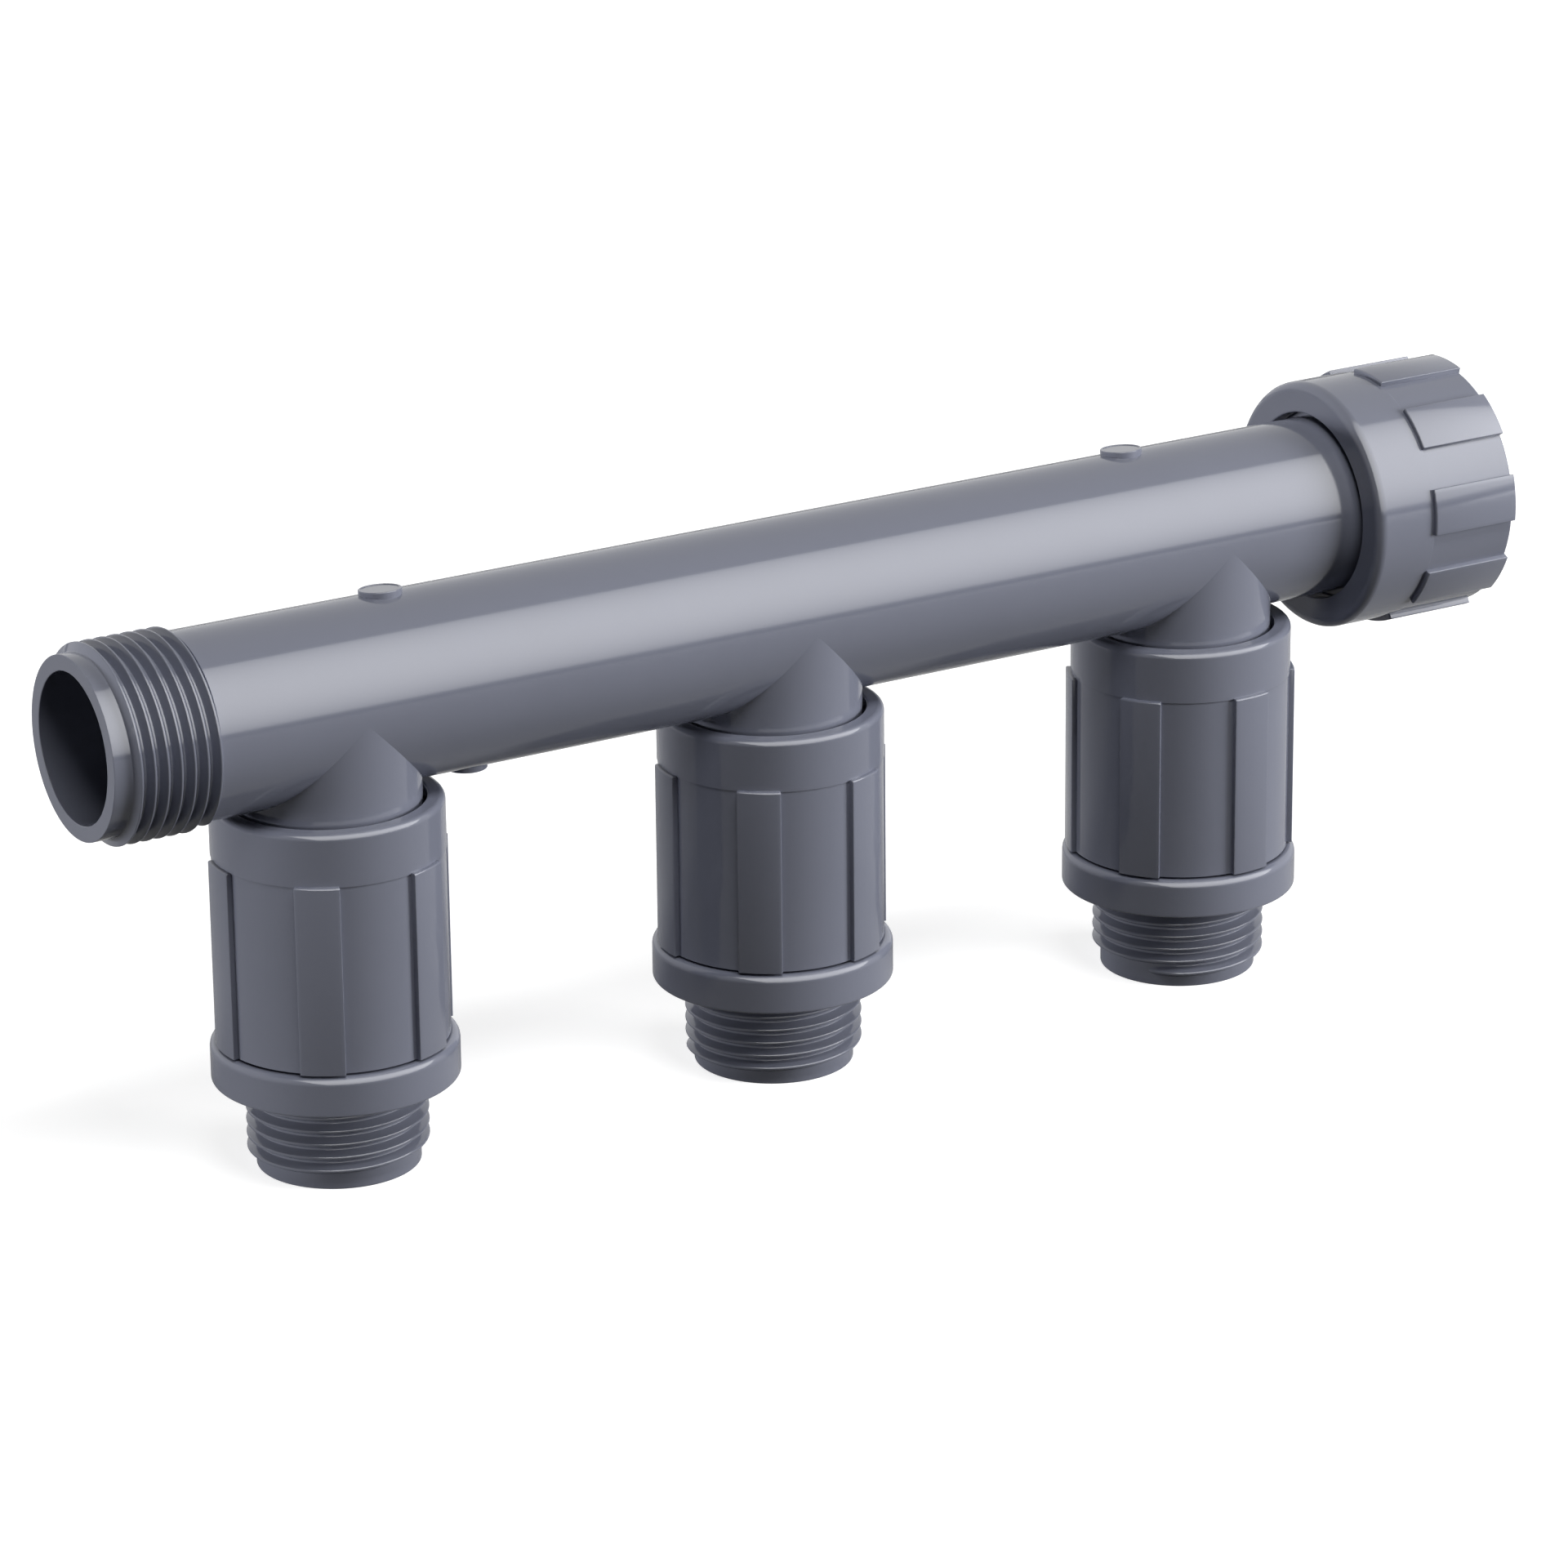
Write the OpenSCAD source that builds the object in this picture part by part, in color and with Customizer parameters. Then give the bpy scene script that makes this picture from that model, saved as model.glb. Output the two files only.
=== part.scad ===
// Irrigation valve manifold: a straight pipe with three drop outlets, in mm, +Z up.
// The origin is the centre of the middle outlet's lower end.

/* [Main pipe] */
// Outside diameter of the main pipe and the branches
pipe_d = 31.2; // [30.8:0.1:32]
// Bore of the main pipe
pipe_bore = 25; // [22:0.5:25.5]
// Height of the pipe's axis above the outlet ends
axis_z = 79.9; // [78:0.1:90]
// Distance between neighbouring drops
drop_pitch = 84; // [60:0.5:110]
// Left end of the pipe, measured from the left drop's axis
male_reach = 44.8; // [43:0.1:70]
// Lip of the inlet nut, measured from the right drop's axis
nut_reach = 26.6; // [25:0.1:50]

/* [Pipe threads] */
// Pitch of every thread, 11 turns to the inch
thread_pitch = 2.309; // [2:0.001:2.5]
// Height of a thread ridge from root to crest
thread_depth = 1.479; // [1.2:0.001:1.6]
// Width of the flat on a thread crest
crest_w = 0.45; // [0.3:0.05:0.6]
// Width of the flat at a thread root
root_w = 0.4; // [0.3:0.05:0.6]
// Outside diameter of the male inlet thread
male_d = 33.25; // [33:0.05:34]
// Turns of the male inlet thread
male_turns = 7; // [5:1:7]
// Length of the smooth nose in front of the male thread
male_nose = 2.4; // [2:0.1:3]
// Chamfer on the nose's outer and inner edges
nose_chamfer = 0.2; // [0.2:0.1:0.8]

/* [Gate marks] */
// Diameter of a moulding gate disc
gate_d = 7.2; // [5:0.1:9]
// Height of a gate disc above the pipe
gate_h = 0.8; // [0.6:0.1:1.5]
// Chamfer on a gate disc's rim
gate_chamfer = 0.3; // [0.1:0.1:0.5]
// Upper gate discs, measured from the outer drops towards the middle
gate_inset = 11.8; // [5:0.1:20]
// Lean of the upper gate discs behind the pipe's top, in degrees
gate_lean = 6; // [0:1:15]
// Lower gate disc, measured from the left drop towards the middle
low_gate_inset = 25.7; // [20.5:0.1:28]
// Flat-bottomed dish in a gate disc's top
gate_dish = 0.2; // [0.1:0.05:0.4]

/* [Branches] */
// Outside diameter of the thread hidden in a drop nut
branch_thread_d = 29.8; // [29.6:0.1:30]
// Bore of the branches and outlet tails
branch_bore = 22; // [18:0.5:22]
// Turns of the hidden thread
branch_turns = 7; // [5:1:7]
// Length of a branch's smooth nose
branch_nose = 2; // [1.5:0.1:3]

/* [Drop nuts] */
// Wall of a drop nut between its bore and its plain band
nut_wall = 4.25; // [4:0.05:4.5]
// Drop of the field between the ribs below the band
field_drop = 0.15; // [0.1:0.05:0.3]
// Height of a rib above the band
rib_h = 0.8; // [0.5:0.1:1]
// How far the ribs run up past the step under the band
rib_over = 0.2; // [0.1:0.05:0.4]
// Chamfer on the end of each rib
rib_chamfer = 0.25; // [0.1:0.05:0.4]
// Ribs round a drop nut
drop_ribs = 6; // [4:1:8]
// Width of a drop nut's rib in degrees
drop_rib_deg = 21.5; // [14:0.5:24]
// Plain band above the ribs
band_h = 9; // [7:0.1:12]
// Gap between the drop nut's lip and the pipe's underside
lip_gap = 0.8; // [0.6:0.1:1.2]
// Radial gap between a branch and the drop nut's mouth
mouth_gap = 0.7; // [0.6:0.1:1]
// How far the mouth reaches down past the top of the hidden thread
mouth_over = 0.6; // [0.4:0.1:1]
// Radius on the drop nut's top edge
drop_edge_r = 1; // [0.5:0.1:1.2]
// Height of the drop nut's bottom lip
drop_lip = 4.2; // [3:0.1:5]
// Turn of the left drop nut in degrees
drop_deg_1 = 27; // [0:1:59]
// Turn of the middle drop nut in degrees
drop_deg_2 = 23; // [0:1:59]
// Turn of the right drop nut in degrees
drop_deg_3 = 5; // [0:1:59]

/* [Outlet tails] */
// Outside diameter of the outlet thread
outlet_d = 30.2; // [30.1:0.05:31]
// Length of an outlet's smooth nose
tail_nose = 2.6; // [2:0.1:3]
// Turns of the outlet thread
tail_turns = 5; // [3:1:5]
// Lower face of the collar above the outlet end
collar_z = 15.4; // [15:0.1:18]
// Height of the collar
collar_h = 6.7; // [5:0.1:8]
// How far the collar stands out past the drop nut's ribs
collar_over = 0.5; // [0.4:0.1:1.5]
// Radius on the collar's upper edge
collar_edge_r = 1.2; // [0.6:0.1:1.5]
// Diameter of the tail's neck through the nut's bottom lip
neck_d = 26; // [25.4:0.1:26.6]
// Height of the tail's flange inside the nut
flange_h = 4; // [3:0.1:5]
// Thickness of a drop gasket
gasket_h = 2; // [1.5:0.1:3]

/* [Inlet nut] */
// Wall of the inlet nut outside its thread
inlet_wall = 2.4; // [2.2:0.1:3.5]
// Length of the inlet nut
inlet_len = 28.9; // [28:0.1:34]
// Plain band behind the inlet nut's ribs
inlet_band = 11.8; // [9:0.1:13]
// Ribs round the inlet nut
inlet_ribs = 9; // [8:1:12]
// Width of an inlet nut rib in degrees
inlet_rib_deg = 21; // [12:0.5:22]
// Turn of the inlet nut in degrees
inlet_deg = 6; // [0:1:39]
// Radius on the inlet nut's back edge
inlet_edge_r = 1.6; // [1:0.1:1.8]
// Thickness of the inlet nut's lip
inlet_lip = 3.2; // [2.6:0.1:4]
// Radial gap between the pipe and the inlet nut's lip
inlet_gap = 1; // [0.8:0.1:1.2]
// Outside diameter of the inlet nut's female thread
inlet_thread_d = 39; // [38.8:0.05:39.4]
// Turns of the inlet nut's female thread
inlet_turns = 7; // [5:1:7]
// Depth of the relief behind the inlet nut's thread
inlet_relief = 0.5; // [0.3:0.1:0.8]
// Flange on the pipe that holds the inlet nut
inlet_flange = 4; // [3:0.1:5]
// Thickness of the inlet gasket
inlet_gasket_h = 2.5; // [2:0.1:3]
// Width of each gasket's flat ring
gasket_w = 3.4; // [2.5:0.1:3.5]

/* [Fits] */
// Radial clearance between a drop nut and the hidden thread
thread_clear = 0.1; // [0.05:0.01:0.15]
// Radial clearance round flanges and necks
free_clear = 0.4; // [0.35:0.05:0.6]
// Gap between a drop nut and the collar under it
collar_gap = 0.35; // [0.3:0.05:0.5]
// End play of the inlet nut on its flange
end_play = 0.4; // [0.3:0.05:0.6]

/* [Hidden] */
pipe_r = pipe_d / 2;
branch_thread_r = branch_thread_d / 2;
outlet_r = outlet_d / 2;
male_r = male_d / 2;
left_x = -drop_pitch - male_reach;
lip_x = drop_pitch + nut_reach;
flange_x = lip_x + inlet_lip + end_play;
pipe_end_x = flange_x + inlet_flange;
flange_r = inlet_thread_d / 2 - thread_depth - free_clear;
nut_top = axis_z - pipe_r - lip_gap;
nut_low = collar_z + collar_h + collar_gap;
nut_bore_r = branch_thread_r + thread_clear;
nut_r = nut_bore_r + nut_wall;
collar_r = nut_r + rib_h + collar_over;
drop_flange_r = branch_thread_r - free_clear;
flange_low = nut_low + drop_lip;
branch_low = flange_low + flange_h + gasket_h;
thread_low = branch_low + branch_nose;
thread_top = thread_low + branch_turns * thread_pitch;
inlet_r = inlet_thread_d / 2 + inlet_wall;
inlet_minor_r = inlet_thread_d / 2 - thread_depth;
overlap = 0.5;
front_deg = 90;
PIECE = "#6f747d";
RUBBER = "#1c1c1f";

function drop_x(i) = (i - 2) * drop_pitch;

// Turns a shape modelled along +Z so that it lies along +X at the pipe's axis
module along_x(x) {
    translate([x, 0, axis_z]) rotate([0, 90, 0]) children();
}

// Upright cylinder between two heights
module cylinder_from(low, high, r) {
    translate([0, 0, low]) cylinder(r = r, h = high - low);
}

// Ridges of a male thread on a core of the root radius, crest centres half a pitch from the start
module male_ridges(crest_r, turns) {
    root_r = crest_r - thread_depth;
    for (i = [0:turns - 1])
        translate([0, 0, (i + 0.5) * thread_pitch])
            rotate_extrude()
                polygon([
                    [root_r - overlap, -(thread_pitch - root_w) / 2],
                    [root_r, -(thread_pitch - root_w) / 2],
                    [crest_r, -crest_w / 2],
                    [crest_r, crest_w / 2],
                    [root_r, (thread_pitch - root_w) / 2],
                    [root_r - overlap, (thread_pitch - root_w) / 2]]);
}

// Grooves of a female thread, to cut from a bore of the minor radius
module female_grooves(major_r, turns) {
    minor_r = major_r - thread_depth;
    for (i = [0:turns - 1])
        translate([0, 0, (i + 0.5) * thread_pitch])
            rotate_extrude()
                polygon([
                    [minor_r - overlap, -(thread_pitch - crest_w) / 2],
                    [minor_r, -(thread_pitch - crest_w) / 2],
                    [major_r, -root_w / 2],
                    [major_r, root_w / 2],
                    [minor_r, (thread_pitch - crest_w) / 2],
                    [minor_r - overlap, (thread_pitch - crest_w) / 2]]);
}

// Solid disc of a turned shape with its upper rim rounded
module rounded_disc(r, h, edge_r) {
    rotate_extrude() {
        square([r, h - edge_r]);
        square([r - edge_r, h]);
        intersection() {
            translate([r - edge_r, h - edge_r]) circle(edge_r);
            square([r, h]);
        }
    }
}

// Raised ribs with a chamfered upper end, on a field of the given radius, turned from the front
module ribs(count, width_deg, turn, field_r, top_r, len) {
    for (i = [0:count - 1])
        rotate([0, 0, turn - front_deg + i * 360 / count - width_deg / 2])
            rotate_extrude(angle = width_deg)
                polygon([
                    [field_r - overlap, 0],
                    [top_r, 0],
                    [top_r, len - rib_chamfer],
                    [top_r - rib_chamfer, len],
                    [field_r - overlap, len]]);
}

// Flat ring gasket
module gasket(outer_r, h) {
    difference() {
        cylinder(r = outer_r, h = h);
        cylinder_from(-overlap, h + overlap, outer_r - gasket_w);
    }
}

// Low moulding disc on the pipe, with a chamfered rim and a shallow dish
module gate_disc() {
    gate_r = gate_d / 2;
    top = pipe_r + gate_h;
    difference() {
        union() {
            cylinder(r = gate_r, h = top - gate_chamfer);
            translate([0, 0, top - gate_chamfer])
                cylinder(r1 = gate_r, r2 = gate_r - gate_chamfer, h = gate_chamfer);
        }
        translate([0, 0, top - gate_dish]) cylinder(r = gate_r - 3 * gate_chamfer, h = gate_h);
    }
}

// Branch with its hidden thread and smooth nose, down from the pipe's axis
module branch() {
    cylinder_from(branch_low, axis_z, branch_thread_r - thread_depth);
    cylinder_from(thread_top, axis_z, pipe_r);
    translate([0, 0, thread_low]) male_ridges(branch_thread_r, branch_turns);
}

// One moulding: pipe, male inlet end, flanged end, three branches and the gate discs
module manifold_body() {
    thread_len = male_turns * thread_pitch;
    male_root_r = male_r - thread_depth;
    color(PIECE) difference() {
        union() {
            along_x(left_x + male_nose + thread_len)
                cylinder(r = pipe_r, h = pipe_end_x - left_x - male_nose - thread_len);
            along_x(left_x + nose_chamfer)
                cylinder(r = male_root_r, h = male_nose + thread_len);
            along_x(left_x)
                cylinder(r1 = male_root_r - nose_chamfer, r2 = male_root_r, h = nose_chamfer);
            along_x(left_x + male_nose) male_ridges(male_r, male_turns);
            along_x(flange_x) cylinder(r = flange_r, h = inlet_flange);
            for (i = [1:3]) translate([drop_x(i), 0, 0]) branch();
            for (side = [-1, 1])
                translate([side * (drop_pitch - gate_inset), 0, axis_z])
                    rotate([-gate_lean, 0, 0]) gate_disc();
            translate([low_gate_inset - drop_pitch, 0, axis_z]) rotate([180, 0, 0]) gate_disc();
        }
        along_x(left_x - overlap) cylinder(d = pipe_bore, h = pipe_end_x - left_x + 2 * overlap);
        along_x(left_x - overlap)
            cylinder(r1 = pipe_bore / 2 + nose_chamfer + overlap, r2 = pipe_bore / 2,
                     h = nose_chamfer + overlap);
        for (i = [1:3])
            translate([drop_x(i), 0, 0]) cylinder_from(branch_low - overlap, axis_z, branch_bore / 2);
    }
}

// Ribbed nut that screws up onto a branch and lifts the outlet tail's flange
module drop_nut(i, turn) {
    rib_top = nut_top - band_h;
    color(PIECE) translate([drop_x(i), 0, 0]) difference() {
        union() {
            translate([0, 0, rib_top]) rounded_disc(nut_r, band_h, drop_edge_r);
            cylinder_from(nut_low, rib_top, nut_r - field_drop);
            translate([0, 0, nut_low])
                ribs(drop_ribs, drop_rib_deg, turn, nut_r - field_drop, nut_r + rib_h,
                     rib_top - nut_low + rib_over);
        }
        cylinder_from(nut_low + drop_lip, nut_top, nut_bore_r);
        cylinder_from(thread_top - mouth_over, nut_top + overlap, pipe_r + mouth_gap);
        cylinder_from(nut_low - overlap, nut_top, neck_d / 2 + free_clear);
    }
}

// Outlet tail: flange inside the nut, neck, collar and male outlet thread
module outlet_tail(i) {
    root_r = outlet_r - thread_depth;
    color(PIECE) translate([drop_x(i), 0, 0]) difference() {
        union() {
            cylinder(r1 = root_r - nose_chamfer, r2 = root_r, h = nose_chamfer);
            cylinder_from(nose_chamfer, collar_z + overlap, root_r);
            translate([0, 0, tail_nose]) male_ridges(outlet_r, tail_turns);
            translate([0, 0, collar_z]) rounded_disc(collar_r, collar_h, collar_edge_r);
            cylinder_from(collar_z + collar_h - overlap, flange_low + overlap, neck_d / 2);
            cylinder_from(flange_low, flange_low + flange_h, drop_flange_r);
        }
        cylinder_from(-overlap, flange_low + flange_h + overlap, branch_bore / 2);
    }
}

// Gasket between a branch's nose and the outlet tail's flange
module drop_gasket(i) {
    color(RUBBER) translate([drop_x(i), 0, flange_low + flange_h])
        gasket(drop_flange_r, gasket_h);
}

// Ribbed swivel nut round the pipe's flanged end, open to the right
module inlet_nut() {
    rib_len = inlet_len - inlet_band;
    relief_low = thread_depth + inlet_turns * thread_pitch;
    color(PIECE) translate([lip_x + inlet_len, 0, axis_z]) rotate([0, -90, 0]) difference() {
        union() {
            cylinder(r = inlet_r - field_drop, h = rib_len);
            translate([0, 0, rib_len]) rounded_disc(inlet_r, inlet_band, inlet_edge_r);
            ribs(inlet_ribs, inlet_rib_deg, inlet_deg, inlet_r - field_drop, inlet_r + rib_h,
                 rib_len + rib_over);
        }
        cylinder_from(-overlap, inlet_len - inlet_lip, inlet_minor_r);
        cylinder_from(relief_low, inlet_len - inlet_lip, inlet_minor_r + inlet_relief);
        cylinder_from(-overlap, inlet_len + overlap, pipe_r + inlet_gap);
        translate([0, 0, -overlap])
            cylinder(r1 = inlet_thread_d / 2 + overlap, r2 = inlet_minor_r, h = thread_depth + overlap);
        translate([0, 0, thread_depth]) female_grooves(inlet_thread_d / 2, inlet_turns);
    }
}

// Gasket against the pipe's flanged end
module inlet_gasket() {
    color(RUBBER) along_x(pipe_end_x) gasket(flange_r - free_clear, inlet_gasket_h);
}

manifold_body();
inlet_nut();
inlet_gasket();
drop_nut(1, drop_deg_1);  // drop_nut_1
drop_nut(2, drop_deg_2);  // drop_nut_2
drop_nut(3, drop_deg_3);  // drop_nut_3
outlet_tail(1);  // outlet_tail_1
outlet_tail(2);  // outlet_tail_2
outlet_tail(3);  // outlet_tail_3
drop_gasket(1);  // drop_gasket_1
drop_gasket(2);  // drop_gasket_2
drop_gasket(3);  // drop_gasket_3
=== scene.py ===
import math
import bpy
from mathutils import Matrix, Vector


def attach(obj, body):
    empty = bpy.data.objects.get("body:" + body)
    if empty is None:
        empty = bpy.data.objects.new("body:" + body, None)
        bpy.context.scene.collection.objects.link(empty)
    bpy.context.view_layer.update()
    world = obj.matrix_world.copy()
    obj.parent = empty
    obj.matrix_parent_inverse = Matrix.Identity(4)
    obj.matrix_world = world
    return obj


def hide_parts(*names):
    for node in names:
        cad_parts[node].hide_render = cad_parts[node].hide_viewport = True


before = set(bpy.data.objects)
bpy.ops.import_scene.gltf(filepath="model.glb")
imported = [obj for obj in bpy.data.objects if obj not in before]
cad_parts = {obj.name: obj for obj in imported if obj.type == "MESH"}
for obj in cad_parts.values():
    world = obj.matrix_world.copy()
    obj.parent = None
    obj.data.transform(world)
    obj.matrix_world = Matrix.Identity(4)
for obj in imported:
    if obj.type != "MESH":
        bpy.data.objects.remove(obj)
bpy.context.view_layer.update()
print("frame loaded:", len(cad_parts), "nodes")

# metres in a millimetre, and the gap in metres under which points are merged
mm = 0.001
weldGap = 0.000001
# height of the pipe's axis, and where the three drops stand along it, in mm
pipeAxis = 79.9
dropPlaces = {1: -84.0, 2: 0.0, 3: 84.0}


def clearSelection():
    if bpy.context.mode != "OBJECT":
        bpy.ops.object.mode_set(mode="OBJECT")
    bpy.ops.object.select_all(action="DESELECT")


def makeActive(piece):
    clearSelection()
    piece.select_set(True)
    bpy.context.view_layer.objects.active = piece


def applyModifiers(piece):
    makeActive(piece)
    for modifier in list(piece.modifiers):
        bpy.ops.object.modifier_apply(modifier=modifier.name)


def applyPlace(piece):
    makeActive(piece)
    bpy.ops.object.transform_apply(location=True, rotation=True, scale=True)


def tidyShell(piece, distance=weldGap):
    makeActive(piece)
    bpy.ops.object.mode_set(mode="EDIT")
    bpy.ops.mesh.select_all(action="SELECT")
    bpy.ops.mesh.remove_doubles(threshold=distance)
    bpy.ops.mesh.normals_make_consistent(inside=False)
    bpy.ops.object.mode_set(mode="OBJECT")


def capEnds(piece):
    makeActive(piece)
    bpy.ops.object.mode_set(mode="EDIT")
    bpy.ops.mesh.select_all(action="SELECT")
    bpy.ops.mesh.fill_holes(sides=0)
    bpy.ops.object.mode_set(mode="OBJECT")


def smoothPiece(piece, degrees=30):
    makeActive(piece)
    bpy.ops.object.shade_smooth_by_angle(angle=math.radians(degrees))


def copyPiece(piece, name):
    twin = piece.copy()
    twin.data = piece.data.copy()
    twin.name = name
    twin.data.name = name
    bpy.context.collection.objects.link(twin)
    return twin


def joinPieces(pieces, name):
    clearSelection()
    for piece in pieces:
        piece.select_set(True)
    bpy.context.view_layer.objects.active = pieces[0]
    bpy.ops.object.join()
    pieces[0].name = name
    pieces[0].data.name = name
    return pieces[0]


def placePiece(piece, place, turn=(0, 0, 0)):
    piece.rotation_euler = [math.radians(a) for a in turn]
    piece.location = [v * mm for v in place]
    applyPlace(piece)


# the widest angle that one step of a fillet's arc may span
arcStep = math.radians(20)


# corners are (radius, height, fillet) in mm; each fillet becomes a short arc with a support point beyond it
def roundCorners(corners, closed=True, support=0.12):
    outline = []
    count = len(corners)
    for i, (r, z, fillet) in enumerate(corners):
        here = Vector((r, z))
        atEnd = not closed and i in (0, count - 1)
        if fillet <= 0 or atEnd:
            outline.append(here)
            continue
        before = Vector(corners[i - 1][:2]) - here
        after = Vector(corners[(i + 1) % count][:2]) - here
        roomBefore, roomAfter = before.length, after.length
        before.normalize()
        after.normalize()
        corner = before.angle(after)
        reach = fillet / math.tan(corner / 2)
        centre = here + (before + after).normalized() * fillet / math.sin(corner / 2)
        start = here + before * reach
        end = here + after * reach
        steps = max(2, math.ceil((math.pi - corner) / arcStep))
        if reach + support < roomBefore / 2:
            outline.append(start + before * support)
        swing = (start - centre).angle_signed(end - centre)
        for k in range(steps + 1):
            arm = (start - centre).copy()
            angle = -swing * k / steps
            arm = Vector((arm.x * math.cos(angle) - arm.y * math.sin(angle),
                          arm.x * math.sin(angle) + arm.y * math.cos(angle)))
            outline.append(centre + arm)
        if reach + support < roomAfter / 2:
            outline.append(end + after * support)
    return outline


# one vertex is extruded from point to point, with the radius along X and the height along Z
def drawOutline(name, outline, closed=True):
    clearSelection()
    first = outline[0]
    bpy.ops.mesh.primitive_plane_add(size=mm, location=(0, 0, 0))
    piece = bpy.context.object
    piece.name = name
    bpy.ops.object.mode_set(mode="EDIT")
    bpy.ops.mesh.select_all(action="SELECT")
    bpy.ops.mesh.merge(type="CENTER")
    bpy.ops.transform.translate(value=(first.x * mm, 0, first.y * mm))
    points = list(outline[1:]) + ([first] if closed else [])
    last = first
    for point in points:
        step = ((point.x - last.x) * mm, 0, (point.y - last.y) * mm)
        bpy.ops.mesh.extrude_vertices_move(TRANSFORM_OT_translate={"value": step})
        last = point
    bpy.ops.mesh.select_all(action="SELECT")
    bpy.ops.mesh.remove_doubles(threshold=weldGap)
    bpy.ops.object.mode_set(mode="OBJECT")
    return piece


def spinOutline(piece, angle, steps):
    spin = piece.modifiers.new("spin", "SCREW")
    spin.axis = "Z"
    spin.angle = angle
    spin.steps = steps
    spin.render_steps = steps
    return spin


# a full turn of an outline about the upright axis
def turnPiece(name, corners, closed=True, steps=192):
    piece = drawOutline(name, roundCorners(corners, closed), closed)
    turn = spinOutline(piece, math.tau, steps)
    turn.use_merge_vertices = True
    turn.merge_threshold = weldGap
    applyModifiers(piece)
    tidyShell(piece)
    smoothPiece(piece)
    return piece


# sizes of a thread's ridge in mm: how deep it is rooted in its core and how deep its ends fade into it, the
# height of its flat foot over the core, half the gap between two turns, and the support beside its fillets
ridge = {
    "root": 0.4,
    "fade": 0.3,
    "foot": 0.01,
    "gap": 0.01,
    "support": 0.03,
    "smoothAngle": 40,
}


# a helical ridge; at each end it fades into the core over a part of a turn, the thread's "fade"
def windRidge(name, corners, thread, fadeRadius):
    piece = drawOutline(name, roundCorners(corners, True, ridge["support"]))
    ringSize = len(piece.data.vertices)
    wind = spinOutline(piece, math.tau, thread["steps"])
    wind.screw_offset = thread["pitch"] * mm
    wind.iterations = thread["wind"]
    applyModifiers(piece)
    rings = len(piece.data.vertices) // ringSize
    fadeRings = max(2, round(thread["fade"] * thread["steps"]))
    for vertex in piece.data.vertices:
        ring = vertex.index // ringSize
        nearEnd = min(ring, rings - 1 - ring) / fadeRings
        if nearEnd >= 1:
            continue
        share = nearEnd * nearEnd * (3 - 2 * nearEnd)
        radius = math.hypot(vertex.co.x, vertex.co.y)
        wanted = fadeRadius * mm + (radius - fadeRadius * mm) * share
        vertex.co.x *= wanted / radius
        vertex.co.y *= wanted / radius
    capEnds(piece)
    tidyShell(piece, weldGap / 2)
    smoothPiece(piece, ridge["smoothAngle"])
    return piece


# ridge of a thread: outward is 1 for a male thread, from the core outwards, and -1 for a female one
def makeRidge(name, thread, outward):
    crestRadius = thread["crestRadius"]
    core = crestRadius - outward * thread["depth"]
    root = core - outward * ridge["root"]
    foot = core + outward * ridge["foot"]
    half = thread["pitch"] / 2 - ridge["gap"]
    flank = half - thread["rootFlat"] / 2
    crest = thread["crestFlat"] / 2
    corners = [(root, -half, 0), (foot, -half, 0), (foot, -flank, thread["rootRound"]),
               (crestRadius, -crest, thread["crestRound"]), (crestRadius, crest, thread["crestRound"]),
               (foot, flank, thread["rootRound"]), (foot, half, 0), (root, half, 0)]
    return windRidge(name, corners, thread, core - outward * ridge["fade"])


# finish of the nuts' ribs, angles in degrees
ribFinish = {
    "edgeSegments": 3,
    "edgeAngle": 28,
    "smoothAngle": 35,
}


# one rib with a chamfered upper end, centred on the front (-Y) of an upright nut
def makeRib(name, rib):
    low, high = rib["low"], rib["high"]
    chamfer = rib["chamfer"]
    outer = rib["outerRadius"]
    inner = rib["innerRadius"]
    corners = [(inner, low, 0), (outer, low, 0), (outer, high - chamfer, 0), (outer - chamfer, high, 0),
               (inner, high, 0)]
    piece = drawOutline(name, roundCorners(corners))
    spinOutline(piece, math.radians(rib["width"]), rib["steps"])
    applyModifiers(piece)
    capEnds(piece)
    tidyShell(piece)
    edge = piece.modifiers.new("edge", "BEVEL")
    edge.width = rib["edge"] * mm
    edge.segments = ribFinish["edgeSegments"]
    edge.limit_method = "ANGLE"
    edge.angle_limit = math.radians(ribFinish["edgeAngle"])
    applyModifiers(piece)
    smoothPiece(piece, ribFinish["smoothAngle"])
    placePiece(piece, (0, 0, 0), (0, 0, -90 - rib["width"] / 2))
    return piece


def ringOfRibs(name, rib):
    first = makeRib(name, rib)
    ribs = []
    for i in range(rib["count"]):
        twin = copyPiece(first, "%s.%d" % (name, i))
        placePiece(twin, (0, 0, 0), (0, 0, 360 * i / rib["count"]))
        ribs.append(twin)
    bpy.data.objects.remove(first)
    return ribs


def cutWith(piece, tool, how):
    step = piece.modifiers.new(how.lower(), "BOOLEAN")
    step.operation = how
    step.solver = "EXACT"
    step.object = tool
    applyModifiers(piece)
    bpy.data.objects.remove(tool)


# a face belongs to a round wall if its corners are this near to it, in metres, and it faces this squarely
wallGap = 0.000012
wallFacing = 0.97


# exact round normals on the straight round walls, so the creases stay clean after the cuts
def roundNormals(piece, walls):
    mesh = piece.data
    normals = [Vector((0, 0, 0))] * len(mesh.loops)
    for face in mesh.polygons:
        for centre, along, radius in walls:
            spokes = []
            for corner in face.loop_indices:
                spoke = mesh.vertices[mesh.loops[corner].vertex_index].co - centre
                spokes.append(spoke - along * spoke.dot(along))
            if max(abs(spoke.length - radius) for spoke in spokes) > wallGap:
                continue
            side = face.normal.dot(spokes[0].normalized())
            if abs(side) < wallFacing:
                continue
            for corner, spoke in zip(face.loop_indices, spokes):
                normals[corner] = spoke.normalized() * math.copysign(1, side)
            break
    mesh.normals_split_custom_set(normals)


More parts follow.
